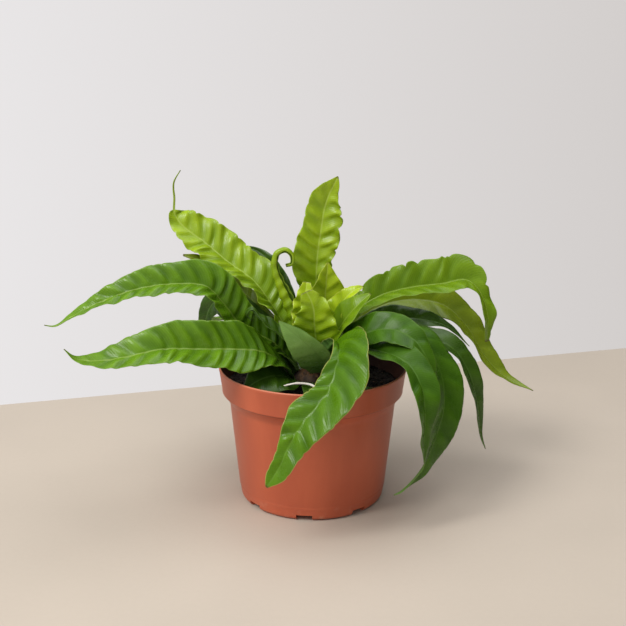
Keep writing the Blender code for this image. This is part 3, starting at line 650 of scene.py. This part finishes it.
def drainCutters():
    # eight channels under the floor that end as notches in the foot, and a round hole up from each
    reach = pot["foot"] + pot["channelPast"] - pot["channelStart"]
    size = Matrix.Diagonal((reach * mm, pot["channelWide"] * mm, 2 * pot["channelHigh"] * mm, 1))
    channel = Matrix.Translation(((pot["channelStart"] + reach / 2) * mm, 0, 0)) @ size
    hole = Matrix.Translation((pot["holePlace"] * mm, 0, pot["floor"] * mm))
    drill = dict(cap_ends=True, segments=32, radius1=pot["hole"] * mm, radius2=pot["hole"] * mm,
                 depth=2 * pot["floor"] * mm)
    cutters = []
    for kind in ("channels", "holes"):
        work = bmesh.new()
        for number in range(pot["drains"]):
            turn = Matrix.Rotation(radians(pot["drainTurn"] + number * 360 / pot["drains"]), 4, "Z")
            if kind == "channels":
                bmesh.ops.create_cube(work, size=1.0, matrix=turn @ channel)
            else:
                bmesh.ops.create_cone(work, matrix=turn @ hole, **drill)
        mesh = bpy.data.meshes.new(kind)
        work.to_mesh(mesh)
        work.free()
        cutters.append(link(kind, mesh))
    return cutters


def carved(mesh, cutters):
    # the mesh with the cutters taken out of it; the cutters are removed
    item = link("carving", mesh)
    for cutter in cutters:
        cut = item.modifiers.new("cut", "BOOLEAN")
        cut.operation = "DIFFERENCE"
        cut.solver = "EXACT"
        cut.object = cutter
    ready = bpy.context.evaluated_depsgraph_get()
    made = bpy.data.meshes.new_from_object(item.evaluated_get(ready))
    for used in [item, *cutters]:
        bpy.data.objects.remove(used)
    return made


def potMaterial(name, low, high, dusty):
    sheet = sheetFor(name)
    place = sheet.place()
    z = place.part(2)
    flow = sheet.noise(place, 38, 4, 0.6, stretch=(1, 1, 0.25))
    cloud = sheet.noise(place, 14, 2, 0.5)
    grit = sheet.noise(place, 900, 2, 0.6)
    colour = sheet.mix(flow.between(0.25, 0.8), low, high)
    colour = sheet.mix(cloud.between(0.35, 0.75) * 0.25, colour, shaded(high, 1.12))
    colour = sheet.mix(grit.between(0.60, 0.78) * 0.18, colour, shaded(low, 0.7))
    # lime and dust near the foot, a thin line of painted shadow under the band, a painted highlight along
    # the top of the lip, a few scuffs
    dust = sheet.noise(place, 160, 4, 0.7).between(0.52, 0.72)
    foot = z.between(11 * mm, 1 * mm) * dust
    # painted shadow line where the band meets the wall
    bandShadow = z.between(69.2 * mm, 69.9 * mm) * z.between(71.0 * mm, 70.4 * mm)
    # painted highlight along the top of the lip
    lip = z.between(86.0 * mm, 86.7 * mm)
    scuff = sheet.noise(place, 45, 5, 0.75, stretch=(1, 1, 5)).between(0.66, 0.74)
    colour = sheet.mix(foot * 0.45, colour, (0.62, 0.33, 0.22))
    colour = sheet.mix(bandShadow * 0.45, colour, (0.16, 0.03, 0.014))
    colour = sheet.mix(lip * 0.40, colour, (0.66, 0.28, 0.16))
    colour = sheet.mix(scuff * 0.16 + dusty * dust, colour, (0.40, 0.22, 0.15))
    rough = flow * 0.12 + foot * 0.2 + scuff * 0.12 + (0.34 + dusty)
    height = grit * 0.6 + sheet.noise(place, 300, 2) * 0.6 + flow * 2.0
    return sheet.finish(0.4, colour, rough, height, 0.00006, 0.6)


def insideFaces(mesh):
    # 1 for a face that looks towards the axis above the floor, 0 elsewhere
    count = len(mesh.polygons)
    centre, normal = np.empty(count * 3), np.empty(count * 3)
    mesh.polygons.foreach_get("center", centre)
    mesh.polygons.foreach_get("normal", normal)
    centre, normal = centre.reshape(-1, 3), normal.reshape(-1, 3)
    radius = np.linalg.norm(centre[:, :2], axis=1)
    inward = (centre[:, :2] * normal[:, :2]).sum(1) < -0.3 * radius
    return (inward & (centre[:, 2] > (pot["floor"] - 0.1) * mm)).astype(np.int32)


def makePot():
    # the profile turned about the axis
    profile = np.repeat(potProfile()[:, :, None], pot["turns"], 2)
    mesh = carved(revolved("pot_blank", profile[:, 0], profile[:, 1], turned=True), drainCutters())
    mesh.name = "nursery_pot_moulding"
    mesh.shade_smooth()
    mesh.set_sharp_from_angle(angle=radians(pot["sharp"]))
    outer = potMaterial("terracotta_plastic", (0.440, 0.090, 0.040), (0.530, 0.118, 0.052), 0.0)
    # the inside wall takes a much darker copy of the terracotta: painted shade inside the pot
    insideShaded = potMaterial("terracotta_inside_shaded", (0.085, 0.024, 0.015), (0.130, 0.036, 0.022), 0.15)
    addPiece("nursery_pot_moulding", mesh, [outer, insideShaded], ["nursery_pot"])
    mesh.polygons.foreach_set("material_index", insideFaces(mesh))
    mesh.update()
    print("pot:", len(mesh.polygons), "faces")


makePot()

# The soil bed: heights and radii in mm, then the loose bits on it: how many, size, flatness, two colours
soil = dict(top=76.0, edge=74.0, rings=84, turns=260, start=1.2, stop=56.2, seed=5,
            lower=((51.4, 64.8), (46.6, 12.0), (43.0, 5.4), (2.0, 5.3)))
soilBits = {
    "soil_crumbs": dict(count=1500, size=(0.5, 1.7), flat=0.75,
                        colours=((0.012, 0.009, 0.009), (0.040, 0.027, 0.020))),
    "soil_wood_bits": dict(count=150, size=(0.8, 2.2), flat=0.45,
                           colours=((0.050, 0.028, 0.018), (0.130, 0.075, 0.050))),
}


def soilTop(r, angle):
    # height of the bed in mm: domed, with lumps from several crossed sines
    x, y = r * np.cos(angle), r * np.sin(angle)
    rise = soil["top"] - (soil["top"] - soil["edge"]) * (r / 55.5) ** 2 - 0.6
    lumps = (0.35 * np.sin(0.55 * x + 1.3) * np.sin(0.49 * y + 0.4)
             + 0.22 * np.sin(1.3 * x + 0.8 * y) * np.sin(1.1 * y - 0.7 * x))
    fine = 0.14 * np.sin(2.9 * x + 1.1) * np.sin(3.3 * y + 2.0) + 0.10 * np.sin(5.1 * x - 2.3 * y)
    return rise + lumps + fine


def soilMaterial(name, dark, brown, pale, share):
    sheet = sheetFor(name)
    place = sheet.place()
    clod = sheet.noise(place, 260, 4, 0.65)
    grain = sheet.node("ShaderNodeTexVoronoi", {}, {"Vector": place, "Scale": 700}, "Distance")
    colour = sheet.mix(clod.between(0.35, 0.7), dark, brown)
    colour = sheet.mix(sheet.noise(place, 1100, 2).between(0.62, 0.74) * share, colour, pale)
    return sheet.finish(0.25, colour, clod * 0.2 + 0.78, clod + grain * 0.8, 0.0006, 0.9)


def pebbles(bits, rng):
    # rough lumps, each an icosahedron whose corners are moved in and out, then squashed and turned
    count = bits["count"]
    g = (1 + 5 ** 0.5) / 2
    corners = np.array([(-1, g, 0), (1, g, 0), (-1, -g, 0), (1, -g, 0), (0, -1, g), (0, 1, g), (0, -1, -g),
                        (0, 1, -g), (g, 0, -1), (g, 0, 1), (-g, 0, -1), (-g, 0, 1)]) / 1.9
    sides = np.array([(0, 11, 5), (0, 5, 1), (0, 1, 7), (0, 7, 10), (0, 10, 11), (1, 5, 9), (5, 11, 4),
                      (11, 10, 2), (10, 7, 6), (7, 1, 8), (3, 9, 4), (3, 4, 2), (3, 2, 6), (3, 6, 8),
                      (3, 8, 9), (4, 9, 5), (2, 4, 11), (6, 2, 10), (8, 6, 7), (9, 8, 1)])
    size = rng.uniform(*bits["size"], (count, 1, 1)) * rng.uniform(0.55, 1.3, (count, 1, 3))
    size[:, :, 2] *= bits["flat"]
    x, y, z = np.moveaxis(corners[None] * rng.uniform(0.72, 1.2, (count, 12, 1)) * size, -1, 0)
    turn = rng.uniform(0, 2 * pi, count)
    c, s = np.cos(turn)[:, None], np.sin(turn)[:, None]
    faces = (sides[None] + 12 * np.arange(count)[:, None, None]).reshape(-1, 3)
    return np.stack([x * c - y * s, x * s + y * c, z], -1), faces


def makeSoil():
    steps = np.linspace(soil["start"], soil["stop"], soil["rings"])
    lower = np.repeat(np.array(soil["lower"])[:, :, None], soil["turns"], 2)
    angle = np.linspace(0, 2 * pi, soil["turns"], endpoint=False)[None, :]
    r = np.repeat(steps[:, None], soil["turns"], 1)
    mesh = revolved("potting_soil_bed", np.concatenate([r, lower[:, 0]]),
                    np.concatenate([soilTop(r, angle), lower[:, 1]]))
    dark, brown, pale = (0.010, 0.008, 0.008), (0.034, 0.024, 0.019), (0.12, 0.085, 0.06)
    bed = soilMaterial("potting_mix_bed", dark, brown, pale, 0.5)
    addPiece("potting_soil_bed", mesh, [bed], ["potting_soil"])
    rng = np.random.default_rng(soil["seed"])
    for name, bits in soilBits.items():
        shape, faces = pebbles(bits, rng)
        radius = 55.0 * np.sqrt(rng.uniform(0.02, 0.985, bits["count"]))
        turn = rng.uniform(0, 2 * pi, bits["count"])
        place = np.stack([radius * np.cos(turn), radius * np.sin(turn), soilTop(radius, turn) + 0.1], -1)
        mesh = meshOf(name, (shape + place[:, None]) * mm, faces, False)
        skin = soilMaterial(name + "_skin", *bits["colours"], (0.20, 0.13, 0.09), 0.4)
        addPiece(name, mesh, [skin], ["potting_soil"])
    print("soil laid")


makeSoil()

# Live roots that loop out of the soil: routes and radii in mm
roots = {
    "root_loop": dict(route=((-20, -31, 82), (-9, -33, 85), (0, -37, 85), (4, -43, 82.5), (0, -48, 79.5),
                             (-10, -49.5, 77)), radii=(0.4, 0.65, 0.7, 0.65, 0.6, 0.3), seed=31),
    "root_short": dict(route=((-43, -20, 77), (-45, -24, 80), (-45, -29, 80), (-43, -32, 77)),
                       radii=(0.3, 0.42, 0.4, 0.2), seed=32),
}
rootHabit = dict(rows=90, sides=12, wobble=0.18, wobbleLong=9)


def rootMesh(name, root):
    # rings of points, middle + radius*(cos a first + sin a second), along a smooth route and closed by a
    # point at each end; the radius wanders
    rows = rootHabit["rows"]
    middle, length = smoothRoute(root["route"], rows)
    share = np.linspace(0, 1, rows)
    along = unit(np.gradient(middle, axis=0))
    first = unit(np.cross(along, np.array([0.13, 0.21, 1.0]) / 1.03))
    second = np.cross(along, first)
    wander = drift(share, length / rootHabit["wobbleLong"], root["seed"])
    radius = eased(root["radii"], share) * (1 + rootHabit["wobble"] * wander)
    turn = np.linspace(0, 2 * pi, rootHabit["sides"], endpoint=False)[None, :, None]
    ring = np.cos(turn) * first[:, None] + np.sin(turn) * second[:, None]
    rings = (middle[:, None] + radius[:, None, None] * ring).reshape(-1, 3)
    ends = [middle[0] - along[0] * radius[0] * 0.6, middle[-1] + along[-1] * radius[-1] * 0.6]
    return outwards(meshOf(name, np.concatenate([rings, ends]) * mm, ringFaces(rows, rootHabit["sides"])))


def rootMaterial():
    sheet = sheetFor("live_root")
    place = sheet.place()
    soft = sheet.noise(place, 320, 3, 0.6)
    colour = sheet.mix(soft.between(0.35, 0.75), (0.72, 0.66, 0.58), (0.86, 0.82, 0.76))
    colour = sheet.mix(sheet.noise(place, 900, 2).between(0.6, 0.7) * 0.5, colour, (0.36, 0.24, 0.16))
    return sheet.finish(0.5, colour, soft * 0.2 + 0.45, soft, 0.0003, 0.5)


def makeRoots():
    finish = rootMaterial()
    for node, root in roots.items():
        addPiece(node + "_strand", rootMesh(node + "_strand", root), [finish], [node])
    print("roots:", len(roots))


makeRoots()

# Rhizome: the knobbly crown, its outline as (radius, height above the foot), and the narrow scales on it
crown = dict(top=90.0, foot=76.3, radius=11.4, turns=96, scales=260, seed=8, scaleThick=0.12,
             scaleLong=(3.0, 5.6), scaleWide=(0.35, 0.7))


def crownMaterial(name, dark, light):
    sheet = sheetFor(name)
    grain = sheet.noise(sheet.place(), 240, 4, 0.6, stretch=(1, 1, 0.3))
    colour = sheet.mix(grain.between(0.3, 0.75), dark, light)
    return sheet.finish(0.3, colour, grain * 0.2 + 0.68, grain, 0.0008, 0.8)


def crownMesh():
    # an outline turned about the axis, with knobs of 5 % from two crossed sines
    top, foot = crown["top"], crown["foot"]
    outline = [(0.6, top - 0.05), (2.2, top - 0.7), (3.6, top - 2.2), (4.6, top - 3.8), (6.0, top - 5.8),
               (7.4, top - 7.6), (9.0, top - 9.2), (10.3, foot + 3.4), (11.0, foot + 1.6),
               (crown["radius"], foot + 0.4), (10.6, foot), (1.0, foot)]
    r, z = np.moveaxis(np.repeat(np.array(outline)[:, :, None], crown["turns"], 2), 1, 0)
    angle = np.linspace(0, 2 * pi, crown["turns"], endpoint=False)[None, :]
    knobs = 0.05 * r * np.sin(7 * angle + 0.9 * z) * np.sin(3 * angle + 0.5 * z)
    return revolved("rhizome_crown", r + knobs, z, turned=True)


def scalesMesh():
    # a scale is a pointed strip: root + t*length*way + u*width*(1 - t^1.6)*side, lifted off the crown as t^2
    rng = np.random.default_rng(crown["seed"])
    count = crown["scales"]
    each = (count, 1, 1)
    t = np.linspace(0, 1, 5)[None, :, None]
    u = np.array([-1.0, 0.0, 1.0])[None, None, :]
    turn = rng.uniform(0, 2 * pi, each)
    level = rng.uniform(0, 0.86, each)
    length = rng.uniform(*crown["scaleLong"], each)
    width = rng.uniform(*crown["scaleWide"], each)
    lean = rng.uniform(-0.25, 0.25, each)
    out = 11.0 - 7.4 * level + 0.15 + t ** 2 * length * rng.uniform(0.05, 0.4, each) - t * length * 0.45
    across = u * width * (1 - t ** 1.6) + t * length * lean
    high = crown["foot"] + 0.8 + 11.0 * level ** 1.15 + t * length * 0.8 + 0.12 * (1 - np.abs(u))
    x = out * np.cos(turn) - across * np.sin(turn)
    y = out * np.sin(turn) + across * np.cos(turn)
    outer = np.stack(np.broadcast_arrays(x, y, high), -1).reshape(count, 15, 3)
    inward = np.stack([np.cos(turn), np.sin(turn), 0 * turn], -1).reshape(count, 1, 3)
    points = np.concatenate([outer, outer - inward * crown["scaleThick"]], 1)
    faces = shellFaces(5, 3)[None] + 30 * np.arange(count)[:, None, None]
    return outwards(meshOf("rhizome_scales", points * mm, faces.reshape(-1, 4), False))


def makeRhizome():
    bark = crownMaterial("rhizome_bark", (0.020, 0.012, 0.008), (0.085, 0.048, 0.026))
    hair = crownMaterial("rhizome_scale_skin", (0.060, 0.030, 0.014), (0.200, 0.105, 0.045))
    addPiece("rhizome_crown", crownMesh(), [bark], ["rhizome"])
    addPiece("rhizome_scales", scalesMesh(), [hair], ["rhizome"])
    print("rhizome and", crown["scales"], "scales")


makeRhizome()

# Litter on the soil: length, width, thickness, place (mm), turn and tilt in degrees, colours
litter = {
    "bark_chip_large": dict(size=(14, 5, 1.4), place=(-9, -45, 76.6), turn=20, tilt=6, seed=60,
                            colours=((0.16, 0.07, 0.045), (0.42, 0.24, 0.17))),
    "bark_chip_small": dict(size=(9, 4, 1.2), place=(-1, -52, 76.2), turn=-35, tilt=-5, seed=61,
                            colours=((0.20, 0.10, 0.07), (0.50, 0.32, 0.25))),
    "leaf_litter_flake": dict(size=(8, 6, 0.8), place=(41, -16, 76.6), turn=60, tilt=8, seed=62,
                              colours=((0.10, 0.06, 0.03), (0.26, 0.16, 0.08))),
}
chipGrid = dict(rows=33, columns=17)


def chipMesh(name, chip):
    # a chip is a slab whose plan tapers to one end and whose ends and faces are split along the grain:
    # u from -1 to 1 along, v across, a ragged end by a saw of sines, thickness less towards the margins
    long, wide, thick = chip["size"]
    u = np.linspace(-1, 1, chipGrid["rows"])[:, None]
    v = np.linspace(-1, 1, chipGrid["columns"])[None, :]
    phase = np.random.default_rng(chip["seed"]).uniform(0, 2 * pi, 4)
    ragged = 0.06 * np.sin(9 * v + phase[0]) + 0.04 * np.sin(17 * v + phase[1])
    x = long / 2 * (u * (0.94 - 0.05 * v ** 2) + u ** 4 * ragged * np.sign(u))
    y = wide / 2 * v * (0.72 - 0.26 * u + 0.05 * np.sin(5 * u + phase[2]))
    body = thick / 2 * np.clip(1 - v ** 6, 0.15, 1) * np.clip(1 - np.abs(u) ** 10, 0.2, 1)
    grain = 0.09 * thick * (np.sin(14 * v + phase[3] + 0.8 * u) + 0.5 * np.sin(29 * v + 2 * u))
    bend = 0.03 * long * (u ** 2 - 0.4)
    heights = bend + body + grain, bend - body + 0.5 * grain
    skins = np.stack([np.stack([x, y, z], -1) for z in heights])
    tilt = Matrix.Rotation(radians(chip["tilt"]), 3, "Y")
    turn = Matrix.Rotation(radians(chip["turn"]), 3, "Z")
    points = skins @ np.array(turn @ tilt).T + chip["place"]
    return outwards(meshOf(name, points * mm, shellFaces(chipGrid["rows"], chipGrid["columns"])))


def chipMaterial(name, chip):
    sheet = sheetFor(name)
    values = {"Vector": sheet.place(), "Rotation": (0, 0, -radians(chip["turn"])), "Scale": (1, 6, 1)}
    fibre = sheet.noise(sheet.node("ShaderNodeMapping", {}, values), 160, 4, 0.65)
    colour = sheet.mix(fibre.between(0.3, 0.72), *chip["colours"])
    return sheet.finish(0.3, colour, fibre * 0.2 + 0.65, fibre, 0.0005, 0.9)


def makeLitter():
    for node, chip in litter.items():
        mesh = chipMesh(node + "_piece", chip)
        addPiece(node + "_piece", mesh, [chipMaterial(node + "_bark", chip)], [node])
    print("litter:", len(litter))


makeLitter()

# Fiddlehead: a young frond still rolled into a gutter, with a thread that curls at the tip. half: radius of
# the roll. open: half angle of its slit.
fiddle = dict(route=((-2, -2, 91), (-7, -1, 107), (-13, 1, 122), (-20, 1, 138), (-24, 1, 150), (-23, 1, 158),
                     (-18, 1, 161), (-13.5, 1, 158), (-13.5, 0, 152.5), (-17, -1, 151.5)), wall=0.5,
              half=(2.2, 3.3, 4.2, 4.4, 4.0, 3.2, 2.4, 2.0, 1.6, 1.1), open=(0.3, 0.45, 0.55, 0.6, 0.6, 0.5),
              face=(0.35, -1.0, 0.0), slitTurn=0.9, rows=200, columns=25)


def makeFiddlehead():
    # cross-section: an arc of radius half that closes to all but an opening, drawn as two skins a wall
    # apart, so the rolled blade shows its slit; point = middle + half*(cos a side + sin a face)
    rows, columns = fiddle["rows"], fiddle["columns"]
    middle, length = smoothRoute(fiddle["route"], rows)
    share = np.linspace(0, 1, rows)
    s = share[:, None]
    along = unit(np.gradient(middle, axis=0))
    level = unit(np.array(fiddle["face"]))
    face = unit(level - (along @ level)[:, None] * along)
    side = np.cross(along, face)
    half = eased(fiddle["half"], share)[:, None]
    t = np.linspace(-1, 1, columns)[None, :]
    angle = -pi / 2 - fiddle["slitTurn"] + t * (pi - eased(fiddle["open"], share)[:, None])
    waves = 1 + 0.10 * np.sin(2 * pi * s * length / 7 + 2 * t) * np.clip(half / 3, 0, 1)

    def skinAt(radius):
        across = radius * waves * np.cos(angle)
        forth = radius * waves * np.sin(angle)
        return middle[:, None] + across[..., None] * side[:, None] + forth[..., None] * face[:, None]

    skins = np.stack([skinAt(half), skinAt(np.maximum(half - fiddle["wall"], half * 0.45))])
    mesh = outwards(meshOf("fiddlehead_roll", skins * mm, shellFaces(rows, columns)))
    reach = np.abs(t) * half
    addReadings(mesh, s * length - 0.5 * reach, 2.2 * reach, 2.2 * (half - reach), s, 0.0)
    finish = leafMaterial("fiddlehead", leafLooks["light"])
    addPiece("fiddlehead_roll", mesh, [finish], ["fiddlehead"])
    print("fiddlehead made")


makeFiddlehead()

# Table top that ends behind the pot, pale wall colour beyond it, and soft studio light
table = dict(left=(-0.250, 0.160), right=(0.310, 0.330), beyond=1.6, deep=2.2, low=0.0002, grid=9,
             colour=(0.535, 0.462, 0.385), grain=(0.72, 0.64, 0.54))
room = dict(wall=(0.820, 0.800, 0.805), wallShade=(0.640, 0.610, 0.595), wallSpan=0.35,
            towards=(-0.56, -0.28, 0.78), dim=(0.05, 0.05, 0.052), bright=(0.85, 0.85, 0.85), start=-0.3)
lamps = {
    "window": dict(place=(-0.75, -0.75, 1.20), aim=(0.0, 0.0, 0.10), size=0.7, power=15.0,
                   colour=(1.0, 0.985, 0.96)),
    "fill": dict(place=(0.35, 0.15, 1.45), aim=(0.12, 0.05, 0.05), size=1.4, power=9.0,
                 colour=(0.97, 0.98, 1.0)),
}


def tableMaterial():
    sheet = sheetFor("table_paint")
    place = sheet.place()
    cloud = sheet.noise(place, 5, 3, 0.5)
    grain = sheet.noise(place, 300, 3, 0.6)
    colour = sheet.mix(cloud.between(0.3, 0.7), shaded(table["colour"], 0.93), table["colour"])
    colour = sheet.mix(grain * 0.1, colour, table["grain"])
    return sheet.finish(0.3, colour, cloud * 0.1 + 0.5, grain, 0.0002, 0.3)


def makeTable():
    # a flat grid: middle of the far edge + u*way along it + v*forward from it
    a, b = np.array(table["left"]), np.array(table["right"])
    way = unit(b - a)
    forward = np.array([way[1], -way[0]])
    u = np.linspace(-table["beyond"], table["beyond"], table["grid"])[:, None, None]
    v = np.linspace(0, table["deep"], table["grid"])[None, :, None]
    flat = a + (b - a) / 2 + u * way + v * forward
    points = np.concatenate([flat, np.full(flat.shape[:2] + (1,), -table["low"])], -1)
    faces = gridFaces(table["grid"], table["grid"], turned=True)
    top = link("table_top", meshOf("table_top", points, faces))
    top.data.materials.append(tableMaterial())


def makeWorld():
    # the camera sees a wall that darkens towards one side; the light comes from a sky that is brightest
    # towards another
    world = bpy.data.worlds.new("studio")
    sheet = Sheet(world)
    where = sheet.node("ShaderNodeTexCoord", out="Generated")
    ends = {"Value": where.part(0), "From Min": -room["wallSpan"], "From Max": room["wallSpan"]}
    seen = sheet.mix(sheet.node("ShaderNodeMapRange", {}, ends), room["wall"], room["wallShade"])
    wall = sheet.node("ShaderNodeBackground", {}, {"Color": seen})
    values = {0: where, 1: room["towards"]}
    towards = sheet.node("ShaderNodeVectorMath", {"operation": "DOT_PRODUCT"}, values, "Value")
    sky = sheet.tree.nodes["Background"]
    light = sheet.mix(towards.between(room["start"], 1.0), room["dim"], room["bright"])
    sheet.plug(sky.inputs["Color"], light)
    toCamera = sheet.node("ShaderNodeLightPath", out="Is Camera Ray")
    both = sheet.node("ShaderNodeMixShader", {}, {0: toCamera, 1: Wire(sheet, sky.outputs[0]), 2: wall})
    sheet.plug(sheet.tree.nodes["World Output"].inputs[0], both)
    bpy.context.scene.world = world
    bpy.context.scene.view_settings.view_transform = "Standard"


def makeLamps():
    for name, lamp in lamps.items():
        data = bpy.data.lights.new(name, "AREA")
        data.shape = "DISK"
        data.size = lamp["size"]
        data.energy = lamp["power"]
        data.color = lamp["colour"]
        item = link(name, data)
        item.location = lamp["place"]
        way = Vector(lamp["aim"]) - Vector(lamp["place"])
        item.rotation_euler = way.to_track_quat("-Z", "Y").to_euler()


makeTable()
makeWorld()
makeLamps()
print("table, walls and lamps set")
